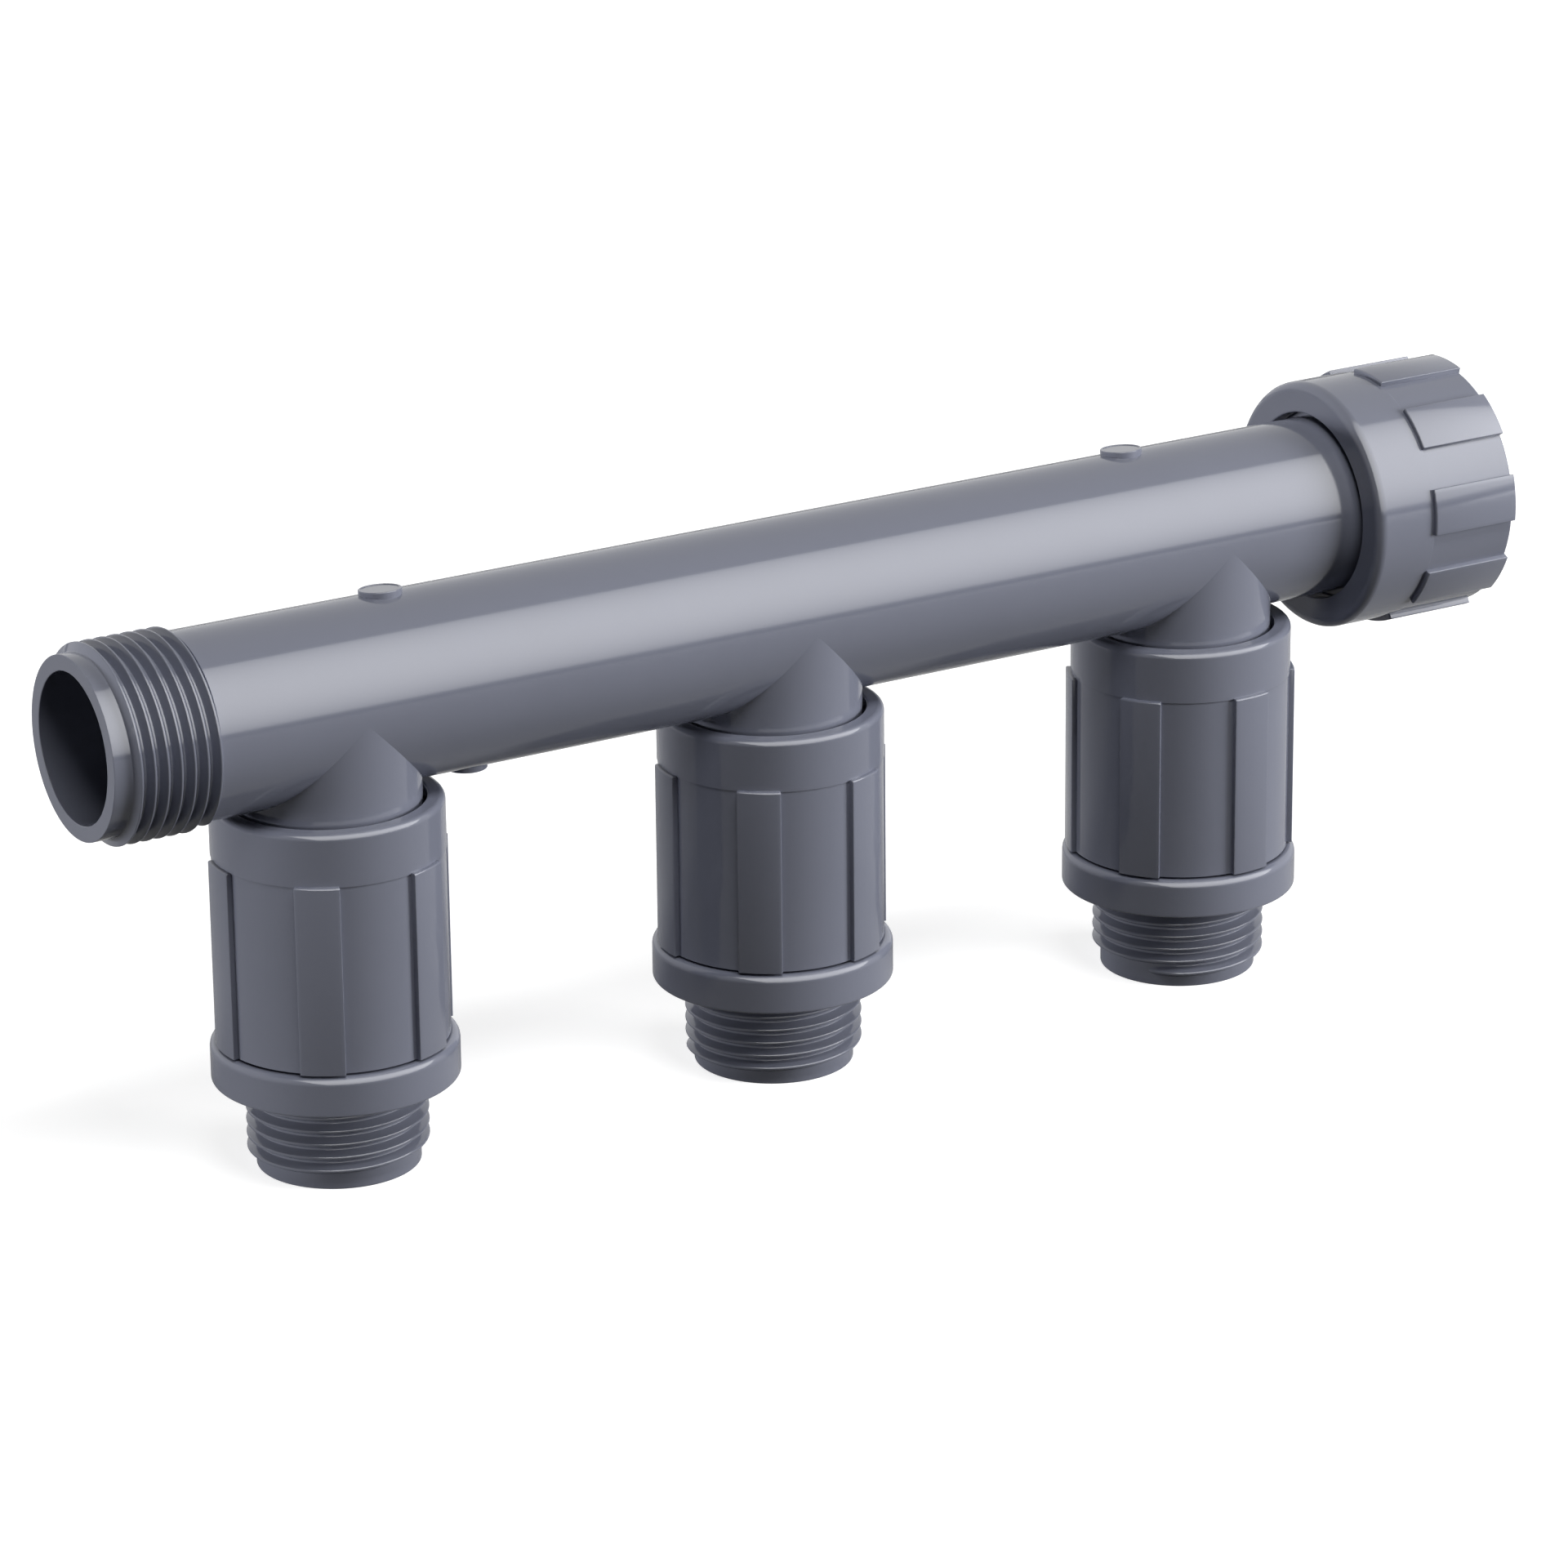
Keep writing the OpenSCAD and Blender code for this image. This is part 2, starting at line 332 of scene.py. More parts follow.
# the skin's inputs, and the look's key that fills each
skinInputs = {
    "Cloudiness": "cloudiness",
    "Cloud Scale": "cloudScale",
    "Gloss": "gloss",
    "Gloss Spread": "glossSpread",
    "Scuff": "scuff",
    "Grain Scale": "grainScale",
}
# (scale, detail, roughness) of each noise; a scale is per metre, or the name of an input
skinNoise = {
    "clouds": ("Cloud Scale", 5, 0.6),
    "flecks": (2200, 2, 0.5),
    "patches": (34, 6, 0.65),
    "gloss": (160, 4, 0.5),
    "waves": (240, 2, 0.5),
    "grain": ("Grain Scale", 3, 0.6),
}
skinMix = {
    "noiseMiddle": 0.5,
    "cloudWeight": 1.6,
    "fleckWeight": 0.5,
    "patchFrom": 0.56,
    "patchFull": 0.74,
    "streakScale": 900,
    "streakDetail": 3,
    "streakStretch": (0.35, 1.0, 1.0),
    "streakTurn": (0, 22, 35),
    "waveWeight": 0.5,
    "grainWeight": 0.35,
}


# a moulded surface: cloudy colour, uneven gloss with scuffs, and a fine height for the bump
def plasticSkin():
    skin = bpy.data.node_groups.new("mouldedSkin", "ShaderNodeTree")
    face = skin.interface
    face.new_socket("Vector", in_out="INPUT", socket_type="NodeSocketVector")
    face.new_socket("Colour", in_out="INPUT", socket_type="NodeSocketColor")
    for label in skinInputs:
        face.new_socket(label, in_out="INPUT", socket_type="NodeSocketFloat")
    face.new_socket("Colour", in_out="OUTPUT", socket_type="NodeSocketColor")
    face.new_socket("Roughness", in_out="OUTPUT", socket_type="NodeSocketFloat")
    face.new_socket("Height", in_out="OUTPUT", socket_type="NodeSocketFloat")
    nodes, links = skin.nodes, skin.links
    start = nodes.new("NodeGroupInput")
    end = nodes.new("NodeGroupOutput")

    def noise(kind):
        scale, detail, rough = skinNoise[kind]
        node = nodes.new("ShaderNodeTexNoise")
        node.inputs["Detail"].default_value = detail
        node.inputs["Roughness"].default_value = rough
        links.new(start.outputs["Vector"], node.inputs["Vector"])
        if isinstance(scale, str):
            links.new(start.outputs[scale], node.inputs["Scale"])
        else:
            node.inputs["Scale"].default_value = scale
        return node.outputs["Fac"]

    def maths(how, a, b):
        node = nodes.new("ShaderNodeMath")
        node.operation = how
        for socket, value in zip(node.inputs, (a, b)):
            if isinstance(value, (int, float)):
                socket.default_value = value
            else:
                links.new(value, socket)
        return node.outputs[0]

    def swayNoise(kind):
        return maths("SUBTRACT", noise(kind), skinMix["noiseMiddle"])

    # cloudy colour: broad patches with finer flecks over them
    clouds = swayNoise("clouds")
    flecks = swayNoise("flecks")
    shade = maths("ADD", maths("MULTIPLY", clouds, skinMix["cloudWeight"]),
                  maths("MULTIPLY", flecks, skinMix["fleckWeight"]))
    shade = maths("ADD", maths("MULTIPLY", shade, start.outputs["Cloudiness"]), 1.0)
    tint = nodes.new("ShaderNodeVectorMath")
    tint.operation = "SCALE"
    links.new(start.outputs["Colour"], tint.inputs[0])
    links.new(shade, tint.inputs["Scale"])
    links.new(tint.outputs[0], end.inputs["Colour"])

    # handling scuffs: sparse matt patches with fine streaks
    patch = nodes.new("ShaderNodeMapRange")
    patch.inputs["From Min"].default_value = skinMix["patchFrom"]
    patch.inputs["From Max"].default_value = skinMix["patchFull"]
    links.new(noise("patches"), patch.inputs["Value"])
    stretch = nodes.new("ShaderNodeMapping")
    stretch.inputs["Scale"].default_value = skinMix["streakStretch"]
    stretch.inputs["Rotation"].default_value = [math.radians(a) for a in skinMix["streakTurn"]]
    links.new(start.outputs["Vector"], stretch.inputs["Vector"])
    streaks = nodes.new("ShaderNodeTexNoise")
    streaks.inputs["Scale"].default_value = skinMix["streakScale"]
    streaks.inputs["Detail"].default_value = skinMix["streakDetail"]
    links.new(stretch.outputs[0], streaks.inputs["Vector"])
    scuffs = maths("MULTIPLY", maths("MULTIPLY", patch.outputs[0], streaks.outputs["Fac"]),
                   start.outputs["Scuff"])
    spread = maths("MULTIPLY", swayNoise("gloss"), start.outputs["Gloss Spread"])
    rough = maths("ADD", maths("ADD", start.outputs["Gloss"], spread), scuffs)
    links.new(rough, end.inputs["Roughness"])

    # faint flow waves of the moulding and a fine grain
    waves = maths("MULTIPLY", noise("waves"), skinMix["waveWeight"])
    grain = maths("MULTIPLY", noise("grain"), skinMix["grainWeight"])
    links.new(maths("ADD", waves, grain), end.inputs["Height"])
    return skin


def makeMaterial(name, look, skin):
    material = bpy.data.materials.new(name)
    material.use_nodes = True
    nodes, links = material.node_tree.nodes, material.node_tree.links
    shader = nodes["Principled BSDF"]
    place = nodes.new("ShaderNodeTexCoord")
    group = nodes.new("ShaderNodeGroup")
    group.node_tree = skin
    group.inputs["Colour"].default_value = (*look["colour"], 1)
    for label, key in skinInputs.items():
        group.inputs[label].default_value = look[key]
    bump = nodes.new("ShaderNodeBump")
    bump.inputs["Strength"].default_value = look["bump"]
    bump.inputs["Distance"].default_value = look["bumpDepth"] * mm
    links.new(place.outputs["Object"], group.inputs["Vector"])
    links.new(group.outputs["Colour"], shader.inputs["Base Color"])
    links.new(group.outputs["Roughness"], shader.inputs["Roughness"])
    links.new(group.outputs["Height"], bump.inputs["Height"])
    links.new(bump.outputs["Normal"], shader.inputs["Normal"])
    shader.inputs["IOR"].default_value = look["ior"]
    return material


pvcLook = {
    "colour": (0.134, 0.142, 0.18),
    "cloudiness": 0.05,
    "cloudScale": 70,
    "gloss": 0.1,
    "glossSpread": 0.04,
    "scuff": 0.08,
    "grainScale": 1500,
    "bump": 0.25,
    "bumpDepth": 0.02,
    "ior": 1.42,
}
rubberLook = {
    "colour": (0.014, 0.014, 0.015),
    "cloudiness": 0.25,
    "cloudScale": 220,
    "gloss": 0.55,
    "glossSpread": 0.2,
    "scuff": 0.3,
    "grainScale": 2600,
    "bump": 0.5,
    "bumpDepth": 0.03,
    "ior": 1.5,
}
skin = plasticSkin()
greyPvc = makeMaterial("greyPvc", pvcLook, skin)
blackRubber = makeMaterial("blackRubber", rubberLook, skin)
print("materials made")


def dress(piece, material, body, node):
    piece.data.materials.clear()
    piece.data.materials.append(material)
    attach(piece, body)
    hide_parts(node)


# the shapes' values are in mm and degrees; those along the pipe are x, those along the drops are z
# manifold body: branchTurn and waterTurn keep the seams of round pieces apart where they are joined
bodyShape = {
    "left": -128.45,
    "right": 118.2,
    "pipeRadius": 15.6,
    "boreRadius": 12.5,
    "nose": 2.4,
    "noseEdge": 0.1,
    "boreEdge": 0.1,
    "threadLength": 16.163,
    "shoulderEdge": 0.15,
    "flangeFrom": 114.2,
    "flangeEdge": 0.3,
    "flangeRadius": 17.621,
    "branchRadius": 15.595,
    "branchSink": 0.25,
    "branchBore": 11.0,
    "branchLow": 32.65,
    "branchNose": 2.0,
    "branchNoseEdge": 0.4,
    "branchStepEdge": 0.3,
    "branchTurn": 0.6,
    "waterTurn": 0.9,
    "cutOver": 1.0,
    "gateRadius": 3.6,
    "gateFoot": 10.0,
    "gateEdge": 0.15,
    "gateDishEdge": 0.05,
    "gateSteps": 72,
    "gateHeight": 0.8,
    "gateRim": 0.45,
    "gateDish": 0.12,
    "upperGates": (-72.2, 72.2),
    "gateLean": 6,
    "lowerGate": -58.3,
}
inletThread = {
    "pitch": 2.309,
    "depth": 1.479,
    "crestRadius": 16.625,
    "crestFlat": 0.3,
    "rootFlat": 0.35,
    "crestRound": 0.16,
    "rootRound": 0.15,
    "wind": 7,
    "steps": 84,
    "fade": 0.12,
}
branchThread = {
    "pitch": 2.309,
    "depth": 1.479,
    "crestRadius": 14.9,
    "crestFlat": 0.45,
    "rootFlat": 0.4,
    "crestRound": 0.2,
    "rootRound": 0.15,
    "wind": 7,
    "steps": 48,
    "fade": 0.12,
}


def makeBody():
    b = bodyShape
    rootRadius = inletThread["crestRadius"] - inletThread["depth"]
    shoulder = b["left"] + b["nose"] + b["threadLength"]
    # the pipe is turned upright, then laid along X
    pipe = turnPiece("manifoldBody", [
        (0, b["left"], 0), (rootRadius, b["left"], b["noseEdge"]), (rootRadius, shoulder, 0),
        (b["pipeRadius"], shoulder, b["shoulderEdge"]), (b["pipeRadius"], b["flangeFrom"], 0),
        (b["flangeRadius"], b["flangeFrom"], b["flangeEdge"]),
        (b["flangeRadius"], b["right"], b["flangeEdge"]), (0, b["right"], 0)], closed=False)
    placePiece(pipe, (0, 0, pipeAxis), (0, 90, 0))

    core = branchThread["crestRadius"] - branchThread["depth"]
    threadTop = b["branchLow"] + b["branchNose"] + branchThread["wind"] * branchThread["pitch"]
    branchTop = pipeAxis - b["branchSink"]
    for x in dropPlaces.values():
        branch = turnPiece("branch", [
            (0, b["branchLow"], 0), (core, b["branchLow"], b["branchNoseEdge"]), (core, threadTop, 0),
            (b["branchRadius"], threadTop, b["branchStepEdge"]), (b["branchRadius"], branchTop, 0),
            (0, branchTop, 0)], closed=False)
        placePiece(branch, (x, 0, 0), (0, 0, b["branchTurn"]))
        cutWith(pipe, branch, "UNION")

    # gate discs of the moulding, two above and one below
    top = b["pipeRadius"] + b["gateHeight"]
    inner = b["gateRadius"] - b["gateRim"]
    discs = [(x, -b["gateLean"]) for x in b["upperGates"]] + [(b["lowerGate"], 180)]
    for x, turn in discs:
        disc = turnPiece("gate", [
            (0, b["gateFoot"], 0), (b["gateRadius"], b["gateFoot"], 0), (b["gateRadius"], top, b["gateEdge"]),
            (inner, top, b["gateDishEdge"]), (inner, top - b["gateDish"], b["gateDishEdge"]),
            (0, top - b["gateDish"], 0)], closed=False, steps=b["gateSteps"])
        placePiece(disc, (x, 0, pipeAxis), (turn, 0, 0))
        cutWith(pipe, disc, "UNION")

    # the water ways are joined into one tool, then cut in one go
    over = b["cutOver"]
    ways = turnPiece("ways", [
        (0, b["left"] - over, 0), (b["boreRadius"] + b["noseEdge"] + over, b["left"] - over, 0),
        (b["boreRadius"], b["left"] + b["noseEdge"], b["boreEdge"]), (b["boreRadius"], b["right"] + over, 0),
        (0, b["right"] + over, 0)], closed=False)
    placePiece(ways, (0, 0, pipeAxis), (0, 90, 0))
    for x in dropPlaces.values():
        water = turnPiece("water", [
            (0, b["branchLow"] - over, 0), (b["branchBore"], b["branchLow"] - over, 0),
            (b["branchBore"], pipeAxis - over, 0), (0, pipeAxis - over, 0)], closed=False)
        placePiece(water, (x, 0, 0), (0, 0, b["waterTurn"]))
        cutWith(ways, water, "UNION")
    cutWith(pipe, ways, "DIFFERENCE")
    tidyShell(pipe)
    smoothPiece(pipe)
    print("body shell cut:", len(pipe.data.polygons), "faces")

    # true helical threads on the inlet end and on the branches
    inlet = makeRidge("inletRidge", inletThread, 1)
    placePiece(inlet, (b["left"] + b["nose"], 0, pipeAxis), (0, 90, 0))
    threads = [inlet]
    for x in dropPlaces.values():
        thread = makeRidge("branchRidge", branchThread, 1)
        placePiece(thread, (x, 0, b["branchLow"] + b["branchNose"]))
        threads.append(thread)
    body = joinPieces([pipe] + threads, "manifoldBody")
    up = Vector((0, 0, 1))
    along = Vector((1, 0, 0))
    middle = Vector((0, 0, pipeAxis * mm))
    walls = [(middle, along, r * mm) for r in (b["pipeRadius"], b["boreRadius"])]
    for x in dropPlaces.values():
        walls += [(Vector((x * mm, 0, 0)), up, r * mm) for r in (b["branchRadius"], b["branchBore"])]
    roundNormals(body, walls)
    dress(body, greyPvc, "manifold", "manifold_body")


makeBody()
print("manifold body made")

# drop nuts
dropNut = {
    "low": 22.45,
    "top": 63.5,
    "step": 54.5,
    "bandRadius": 19.25,
    "fieldRadius": 19.1,
    "footEdge": 0.1,
    "stepEdge": 0.05,
    "topEdge": 1.0,
    "boreRadius": 15.0,
    "mouthRadius": 16.3,
    "mouthDepth": 13.287,
    "mouthEdge": 0.3,
    "innerEdge": 0.15,
    "lip": 4.2,
    "lipHole": 13.4,
    "lipEdge": 0.3,
    "turns": {1: 27, 2: 23, 3: 5},
}
dropRib = {
    "count": 6,
    "width": 21.5,
    "steps": 12,
    "low": 22.45,
    "high": 54.7,
    "innerRadius": 18.6,
    "outerRadius": 20.05,
    "chamfer": 0.2,
    "edge": 0.12,
}


def makeDropNut():
    n = dropNut
    mouthEnd = n["top"] - n["mouthDepth"]
    lipTop = n["low"] + n["lip"]
    shell = turnPiece("dropNut", [
        (n["lipHole"], n["low"], n["lipEdge"]), (n["fieldRadius"], n["low"], n["footEdge"]),
        (n["fieldRadius"], n["step"], 0), (n["bandRadius"], n["step"], n["stepEdge"]),
        (n["bandRadius"], n["top"], n["topEdge"]), (n["mouthRadius"], n["top"], n["mouthEdge"]),
        (n["mouthRadius"], mouthEnd, 0), (n["boreRadius"], mouthEnd, n["innerEdge"]),
        (n["boreRadius"], lipTop, n["innerEdge"]), (n["lipHole"], lipTop, n["innerEdge"])])
    return joinPieces([shell] + ringOfRibs("dropRib", dropRib), "dropNut")


firstNut = makeDropNut()
for i, x in dropPlaces.items():
    nut = copyPiece(firstNut, "dropNut%d" % i)
    placePiece(nut, (x, 0, 0), (0, 0, dropNut["turns"][i]))
    dress(nut, greyPvc, "nut_%d" % i, "drop_nut_%d" % i)
bpy.data.objects.remove(firstNut)
print("drop nuts made")

# outlet tails
outletTail = {
    "bore": 11.0,
    "boreEdge": 0.3,
    "nose": 2.6,
    "noseEdge": 0.2,
    "rootEdge": 0.3,
    "collarLow": 15.4,
    "collarHigh": 22.1,
    "collarRadius": 20.55,
    "collarFoot": 0.35,
    "collarEdge": 1.2,
    "neckRadius": 13.0,
    "neckEdge": 0.2,
    "flangeLow": 26.65,
    "flangeHigh": 30.65,
    "flangeRadius": 14.5,
    "flangeEdge": 0.3,
}
outletThread = {
    "pitch": 2.309,
    "depth": 1.479,
    "crestRadius": 15.1,
    "crestFlat": 0.4,
    "rootFlat": 0.35,
    "crestRound": 0.3,
    "rootRound": 0.15,
    "wind": 5,
    "steps": 84,
    "fade": 0.1,
    "turns": {1: 65, 2: 125, 3: 205},
}


def makeTail():
    t = outletTail
    root = outletThread["crestRadius"] - outletThread["depth"]
    return turnPiece("outletTail", [
        (t["bore"], 0, t["boreEdge"]), (root, 0, t["noseEdge"]), (root, t["collarLow"], t["rootEdge"]),
        (t["collarRadius"], t["collarLow"], t["collarFoot"]),
        (t["collarRadius"], t["collarHigh"], t["collarEdge"]),
        (t["neckRadius"], t["collarHigh"], t["neckEdge"]), (t["neckRadius"], t["flangeLow"], t["neckEdge"]),
        (t["flangeRadius"], t["flangeLow"], t["flangeEdge"]),
        (t["flangeRadius"], t["flangeHigh"], t["flangeEdge"]), (t["bore"], t["flangeHigh"], t["boreEdge"])])


firstTail = makeTail()
firstRidge = makeRidge("outletRidge", outletThread, 1)
for i, x in dropPlaces.items():
    tail = copyPiece(firstTail, "outletTail%d" % i)
    thread = copyPiece(firstRidge, "outletRidge%d" % i)
    placePiece(thread, (0, 0, outletTail["nose"]), (0, 0, outletThread["turns"][i]))
    tail = joinPieces([tail, thread], "outletTail%d" % i)
    placePiece(tail, (x, 0, 0))
    dress(tail, greyPvc, "tail_%d" % i, "outlet_tail_%d" % i)
bpy.data.objects.remove(firstTail)
bpy.data.objects.remove(firstRidge)
print("outlet tails made")

# inlet nut
inletNut = {
    "lip": 110.6,
    "mouth": 139.5,
    "band": 11.8,
    "bandRadius": 21.9,
    "fieldRadius": 21.75,
    "mouthEdge": 0.4,
    "stepEdge": 0.05,
    "backEdge": 1.6,
    "lipHole": 16.6,
    "lipThickness": 3.2,
    "lipEdge": 0.3,
    "innerEdge": 0.15,
    "reliefRadius": 18.521,
    "reliefEnd": 121.858,
    "reliefEdge": 0.3,
    "majorRadius": 19.5,
    "turn": 6,
}
inletRib = {
    "count": 9,
    "width": 21,
    "steps": 12,
    "low": 0.0,
    "high": 17.3,
    "innerRadius": 21.25,
    "outerRadius": 22.7,
    "chamfer": 0.2,
    "edge": 0.12,
}
nutThread = {
    "pitch": 2.309,
    "depth": 1.479,
    "crestRadius": 18.021,
    "crestFlat": 0.45,
    "rootFlat": 0.4,
    "crestRound": 0.2,
    "rootRound": 0.15,
    "wind": 7,
    "steps": 72,
    "fade": 0.12,
}


# modelled upright with its open mouth at the bottom, then laid along X
def makeInletNut():
    n = inletNut
    length = n["mouth"] - n["lip"]
    step = length - n["band"]
    relief = n["mouth"] - n["reliefEnd"]
    lipInside = length - n["lipThickness"]
    shell = turnPiece("inletNut", [
        (n["majorRadius"], 0, n["mouthEdge"]), (n["fieldRadius"], 0, n["mouthEdge"]),
        (n["fieldRadius"], step, 0), (n["bandRadius"], step, n["stepEdge"]),
        (n["bandRadius"], length, n["backEdge"]), (n["lipHole"], length, n["lipEdge"]),
        (n["lipHole"], lipInside, n["innerEdge"]), (n["reliefRadius"], lipInside, n["reliefEdge"]),
        (n["reliefRadius"], relief, n["innerEdge"]), (n["majorRadius"], relief, 0)])
    ribs = ringOfRibs("inletRib", inletRib)
    thread = makeRidge("nutRidge", nutThread, -1)
    placePiece(thread, (0, 0, nutThread["depth"]))
    nut = joinPieces([shell, thread] + ribs, "inletNut")
    placePiece(nut, (0, 0, 0), (0, 0, n["turn"]))
    placePiece(nut, (n["mouth"], 0, pipeAxis), (0, -90, 0))
    dress(nut, greyPvc, "swivel_nut", "inlet_nut")


makeInletNut()
print("inlet nut made")

# the flat gaskets stay as their CAD nodes, in rubber
for name in ("inlet_gasket", "drop_gasket_1", "drop_gasket_2", "drop_gasket_3"):
    gasket = bpy.data.objects[name]
    gasket.data.materials.clear()
    gasket.data.materials.append(blackRubber)

# studio, in metres; the lift is light that only the camera sees
studio = {
    "floorSize": 30.0,
    "floorCuts": 3,
    "floorShade": 0.05,
    "floorWhite": 0.5,
    "floorLift": 0.76,
    "shadowReach": 0.2,
    "whiteFrom": 1.0,
    "surround": 0.03,
    "stripHeart": 1.6,
}
# place, aim and size in metres; the strip is only mirrored, the panels only shade
lamps = {
    "frontStrip": {
        "place": (0.75, -1.07, 1.11), "aim": (0.75, 0, 0.08), "size": (4.4, 2.62), "radiance": 2.9},
    "keyPanel": {
        "place": (1.15, -0.8, 0.25), "aim": (0, 0, 0.05), "size": (0.7, 0.7), "radiance": 22.0},
    "frontPanel": {
        "place": (-0.1, -1.05, 2.15), "aim": (0, 0, 0.05), "size": (1.4, 0.7), "radiance": 13.2},
    "endPanel": {
        "place": (-2.0, 0.6, 0.06), "aim": (-0.1, 0, 0.08), "size": (1.0, 0.1), "radiance": 115.0},
    "backPanel": {
        "place": (0.2, 2.2, 0.5), "aim": (0, 0, 0.05), "size": (1.8, 0.8), "radiance": 8.0},
}
# the camera fitted to the photo's outline, in metres and degrees
photoLens = {
    "sensor": 36.0,
    "focal": 147.14,
    "shift": (-0.012617, -0.004445),
    "clip": (0.05, 60),
    "place": (-0.526528, -0.875696, 0.411949),
    "turn": (70.513626, 0.505486, -31.509773),
}


def viewRays(nodes, links):
    path = nodes.new("ShaderNodeLightPath")
    seen = nodes.new("ShaderNodeMath")
    seen.operation = "MAXIMUM"
    links.new(path.outputs["Is Camera Ray"], seen.inputs[0])
    links.new(path.outputs["Is Glossy Ray"], seen.inputs[1])
    either = nodes.new("ShaderNodeMath")
    either.operation = "MAXIMUM"
    links.new(seen.outputs[0], either.inputs[0])
    links.new(path.outputs["Is Transmission Ray"], either.inputs[1])
    return either.outputs[0]


def makeFloor():
    clearSelection()
    bpy.ops.mesh.primitive_plane_add(size=studio["floorSize"], location=(0, 0, 0))
    floor = bpy.context.object
    floor.name = "studioFloor"
    bpy.ops.object.mode_set(mode="EDIT")
    bpy.ops.mesh.select_all(action="SELECT")
    bpy.ops.mesh.subdivide(number_cuts=studio["floorCuts"])
    bpy.ops.object.mode_set(mode="OBJECT")
    material = bpy.data.materials.new("studioWhite")
    material.use_nodes = True
    nodes, links = material.node_tree.nodes, material.node_tree.links
    nodes.remove(nodes["Principled BSDF"])
    dim = nodes.new("ShaderNodeBsdfDiffuse")
    dim.inputs["Color"].default_value = (studio["floorShade"],) * 3 + (1,)
    pale = nodes.new("ShaderNodeBsdfDiffuse")
    pale.inputs["Color"].default_value = (studio["floorWhite"],) * 3 + (1,)
    lift = nodes.new("ShaderNodeEmission")
    both = nodes.new("ShaderNodeAddShader")
    links.new(pale.outputs[0], both.inputs[0])
    links.new(lift.outputs[0], both.inputs[1])
    # the shadow stays near the part, and the floor is plain white further out
    place = nodes.new("ShaderNodeTexCoord")
    away = nodes.new("ShaderNodeVectorMath")
    away.operation = "LENGTH"
    links.new(place.outputs["Object"], away.inputs[0])
    fade = nodes.new("ShaderNodeMapRange")
    fade.inputs["From Min"].default_value = studio["shadowReach"]
    fade.inputs["From Max"].default_value = studio["whiteFrom"]
    fade.inputs["To Min"].default_value = studio["floorLift"]
    fade.inputs["To Max"].default_value = 1.0
    links.new(away.outputs["Value"], fade.inputs["Value"])
    path = nodes.new("ShaderNodeLightPath")
    seen = nodes.new("ShaderNodeMath")
    seen.operation = "MULTIPLY"
    links.new(path.outputs["Is Camera Ray"], seen.inputs[0])
    links.new(fade.outputs[0], seen.inputs[1])
    links.new(seen.outputs[0], lift.inputs["Strength"])
    mix = nodes.new("ShaderNodeMixShader")
    links.new(viewRays(nodes, links), mix.inputs["Fac"])
    links.new(dim.outputs[0], mix.inputs[1])
    links.new(both.outputs[0], mix.inputs[2])
    links.new(mix.outputs[0], nodes["Material Output"].inputs["Surface"])
    floor.data.materials.append(material)


def makeWorld():
    world = bpy.data.worlds.new("studioAir")
    bpy.context.scene.world = world
    world.use_nodes = True
    nodes, links = world.node_tree.nodes, world.node_tree.links
    air = nodes["Background"]
    air.inputs["Color"].default_value = (1, 1, 1, 1)
    air.inputs["Strength"].default_value = studio["surround"]
    white = nodes.new("ShaderNodeBackground")
    white.inputs["Color"].default_value = (1, 1, 1, 1)
    white.inputs["Strength"].default_value = 1.0
    mix = nodes.new("ShaderNodeMixShader")
    links.new(viewRays(nodes, links), mix.inputs["Fac"])
    links.new(air.outputs[0], mix.inputs[1])
    links.new(white.outputs[0], mix.inputs[2])
    links.new(mix.outputs[0], nodes["World Output"].inputs["Surface"])


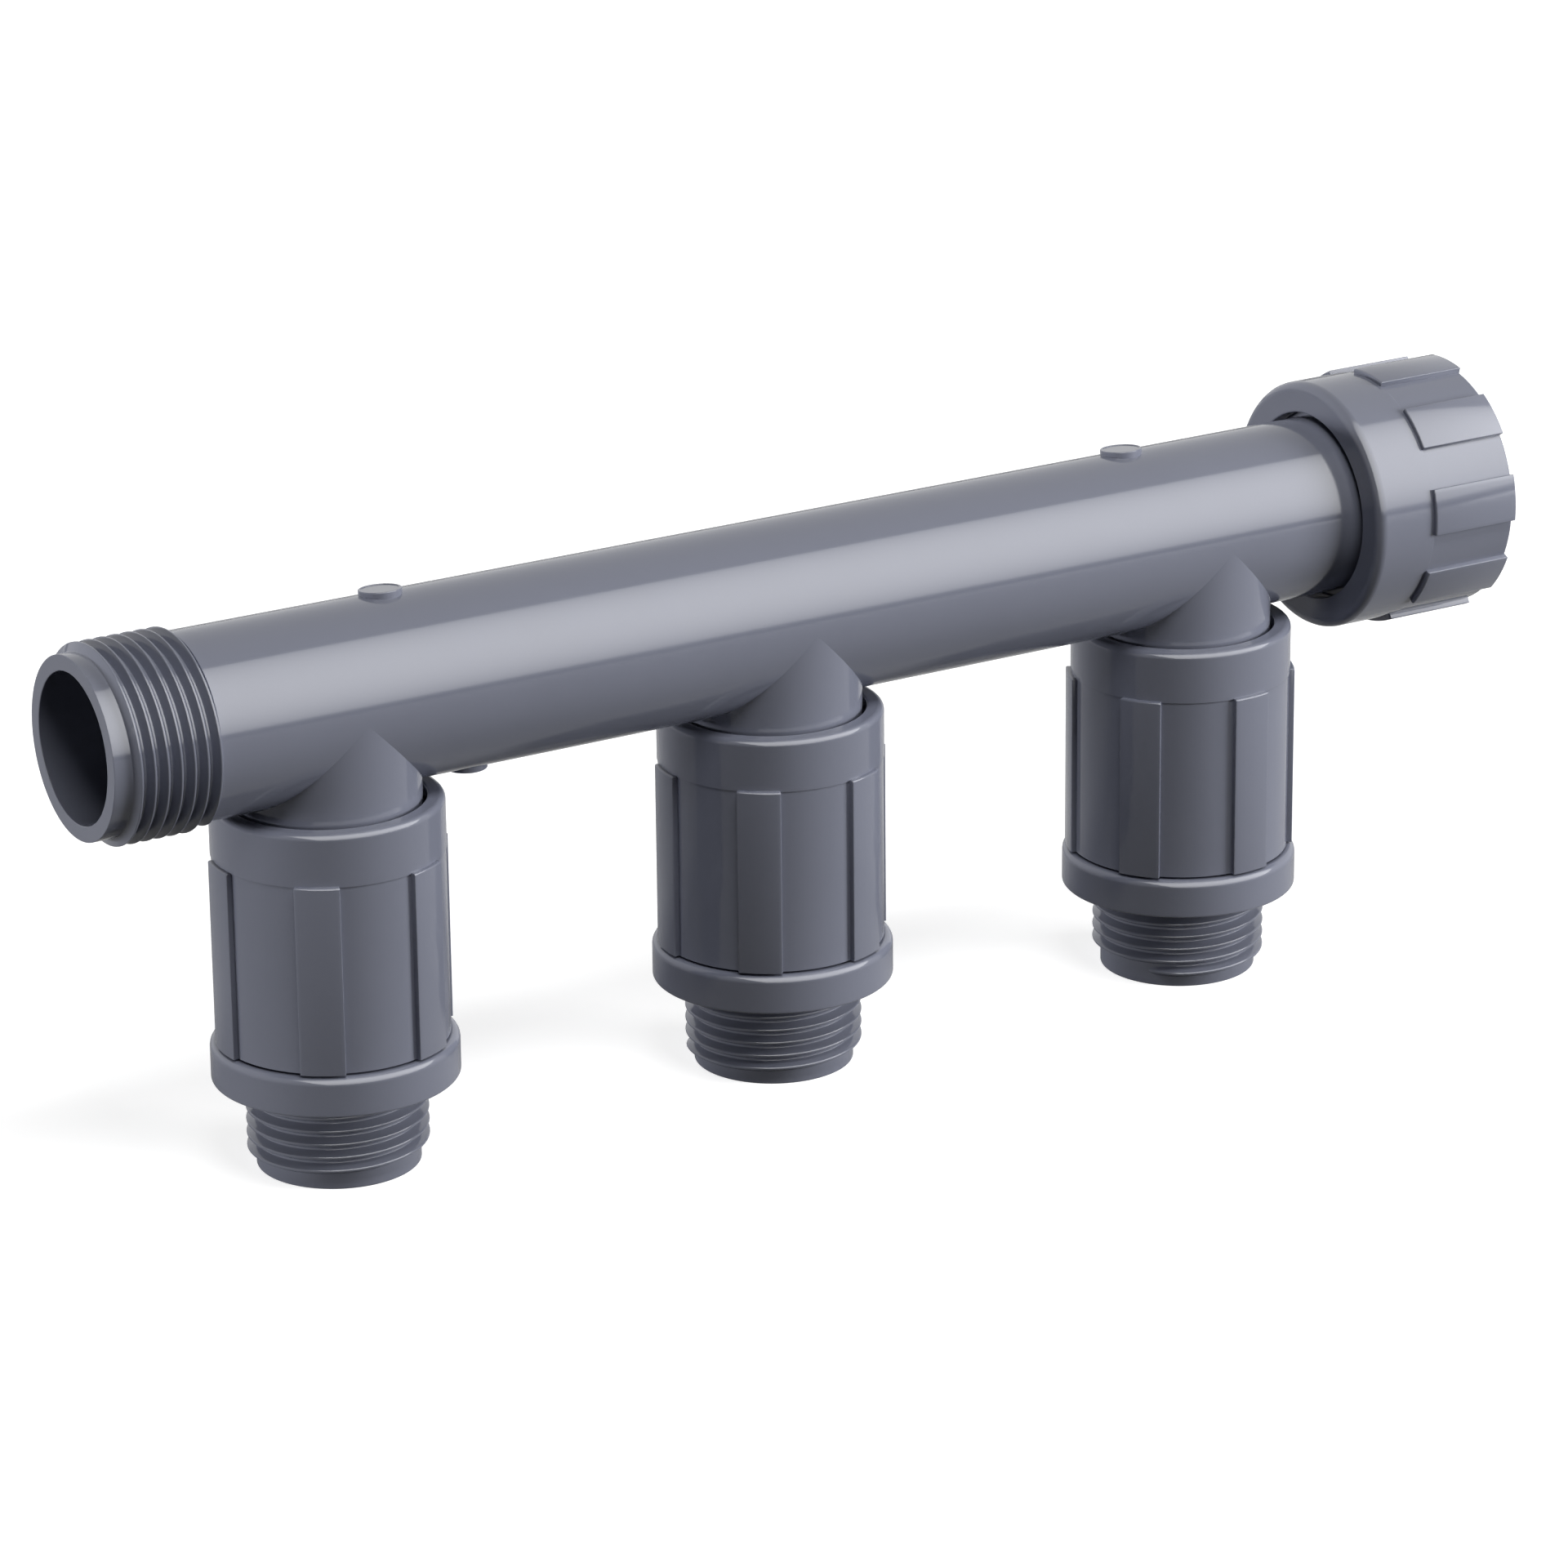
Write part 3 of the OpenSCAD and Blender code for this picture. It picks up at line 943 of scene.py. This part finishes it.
# a rectangular lamp of a given radiance, aimed at a point
def addPanel(name, mirrored):
    values = lamps[name]
    width, height = values["size"]
    place = Vector(values["place"])
    lamp = bpy.data.lights.new(name, "AREA")
    lamp.shape = "RECTANGLE"
    lamp.size = width
    lamp.size_y = height
    lamp.energy = math.pi * width * height * values["radiance"]
    panel = bpy.data.objects.new(name, lamp)
    bpy.context.collection.objects.link(panel)
    panel.location = place
    panel.rotation_euler = (Vector(values["aim"]) - place).to_track_quat("-Z", "Y").to_euler()
    panel.visible_glossy = mirrored
    panel.visible_diffuse = not mirrored
    panel.visible_camera = False
    return panel


# a softbox is brighter along its middle than at its long edges
def brightenHeart(lamp):
    lamp.use_nodes = True
    nodes, links = lamp.node_tree.nodes, lamp.node_tree.links
    place = nodes.new("ShaderNodeNewGeometry")
    split = nodes.new("ShaderNodeSeparateXYZ")
    links.new(place.outputs["Parametric"], split.inputs[0])
    across = nodes.new("ShaderNodeMapRange")
    across.inputs["To Min"].default_value = -1.0
    links.new(split.outputs["Y"], across.inputs["Value"])
    square = nodes.new("ShaderNodeMath")
    square.operation = "MULTIPLY"
    links.new(across.outputs[0], square.inputs[0])
    links.new(across.outputs[0], square.inputs[1])
    fall = nodes.new("ShaderNodeMapRange")
    fall.inputs["To Min"].default_value = 1.0 + studio["stripHeart"]
    fall.inputs["To Max"].default_value = 1.0
    links.new(square.outputs[0], fall.inputs["Value"])
    links.new(fall.outputs[0], nodes["Emission"].inputs["Strength"])


def makeLights():
    # long softbox in front and above: it is what the pipe's bright strip mirrors
    strip = addPanel("frontStrip", mirrored=True)
    brightenHeart(strip.data)
    for name in ("keyPanel", "frontPanel", "endPanel", "backPanel"):
        addPanel(name, mirrored=False)


def makeCamera():
    lens = bpy.data.cameras.new("photoCamera")
    lens.sensor_fit = "HORIZONTAL"
    lens.sensor_width = photoLens["sensor"]
    lens.lens = photoLens["focal"]
    lens.shift_x, lens.shift_y = photoLens["shift"]
    lens.clip_start, lens.clip_end = photoLens["clip"]
    camera = bpy.data.objects.new("photoCamera", lens)
    bpy.context.collection.objects.link(camera)
    camera.location = photoLens["place"]
    camera.rotation_euler = [math.radians(a) for a in photoLens["turn"]]
    bpy.context.scene.camera = camera


makeFloor()
makeWorld()
makeLights()
makeCamera()
bpy.context.scene.view_settings.view_transform = "Standard"
print("studio made")
